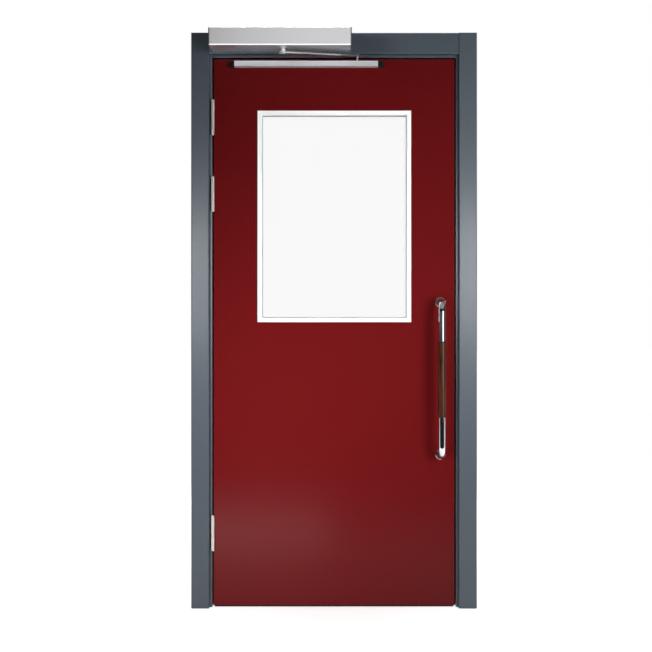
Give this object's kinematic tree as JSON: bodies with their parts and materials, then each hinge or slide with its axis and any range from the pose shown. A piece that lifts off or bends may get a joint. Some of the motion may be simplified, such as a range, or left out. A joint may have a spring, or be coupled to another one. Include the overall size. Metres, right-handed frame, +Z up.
{
  "type": "fire door",
  "caption": "Red single-leaf fire door with glazed vision panel in a grey frame, with butt hinges, pull handle and an overhead slide-arm door operator.",
  "frame": {"origin": "on the wall face of the hinge jamb, at floor level and half way through the jamb's depth", "axes": "+X from the hinge side to the closing side, +Y away from the pull side, +Z up"},
  "size_m": [1.063, 0.25, 2.141],
  "materials": {
    "frame_paint": "satin paint",
    "leaf_core": "painted edges",
    "leaf_facing": "smooth satin laminate",
    "glazing_bead": "white satin paint",
    "fire_glass": "clear, polished",
    "hinge_steel": "satin",
    "handle_chrome": "polished",
    "handle_wood": "oiled, satin",
    "operator_silver": "satin anodised",
    "operator_end": "fine matt",
    "drive_metal": "cast",
    "bright_steel": "satin",
    "track_silver": "satin anodised",
    "black_plastic": "matt",
    "slide_plastic": "smooth",
    "seal_rubber": "matt"
  },
  "bodies": {
    "frame": {"hinge_jamb": "frame_paint", "closing_jamb": "frame_paint", "head_jamb": "frame_paint", "hinge_side_casing": "frame_paint", "closing_side_casing": "frame_paint", "head_casing": "frame_paint", "hinge_side_seal": "seal_rubber", "closing_side_seal": "seal_rubber", "head_seal": "seal_rubber", "upper_hinge_frame_plate": "hinge_steel", "middle_hinge_frame_plate": "hinge_steel", "lower_hinge_frame_plate": "hinge_steel", "hinge_pins": "hinge_steel", "operator_cover": "operator_silver", "operator_left_end": "operator_end", "operator_right_end": "operator_end", "operator_backplate": "bright_steel", "operator_drive": "drive_metal"},
    "leaf": {"hinge_stile": "leaf_core", "closing_stile": "leaf_core", "top_rail": "leaf_core", "lower_panel": "leaf_core", "front_facing": "leaf_facing", "rear_facing": "leaf_facing", "glass_pane": "fire_glass", "front_glazing_beads": "glazing_bead", "rear_glazing_beads": "glazing_bead", "upper_hinge_leaf_plate": "hinge_steel", "middle_hinge_leaf_plate": "hinge_steel", "lower_hinge_leaf_plate": "hinge_steel", "handle_lower_end": "handle_chrome", "handle_upper_end": "handle_chrome", "handle_grip": "handle_wood", "handle_roses": "handle_chrome", "handle_bolt_caps": "handle_chrome", "slide_track": "track_silver", "track_left_cap": "black_plastic", "track_right_cap": "black_plastic", "drop_seal": "seal_rubber"},
    "arm": {"drive_spindle": "bright_steel", "operator_arm": "bright_steel", "arm_pin": "bright_steel"},
    "slider": {"slide_block": "slide_plastic"}
  },
  "joints": [
    {"name": "leaf_swing", "type": "hinge", "parent": "frame", "child": "leaf", "pos_m": [0.0425, -0.059, 1], "axis": [0, 0, -1], "range_deg": [0, 90], "stiffness_Nm_per_rad": 6, "springref_deg": -171.89},
    {"name": "arm_swing", "type": "hinge", "parent": "frame", "child": "arm", "pos_m": [0.3085, -0.132, 2.0545], "axis": [0, 0, -1], "range_deg": [0, 180]},
    {"name": "slider_turn", "type": "hinge", "parent": "arm", "child": "slider", "pos_m": [0.5817, -0.068, 2.025], "axis": [0, 0, -1], "range_deg": [-90, 0]}
  ],
  "couplings": [
    {"joint": "arm_swing", "follows": "leaf_swing", "ratio": 2},
    {"joint": "slider_turn", "follows": "leaf_swing", "ratio": -1}
  ]
}
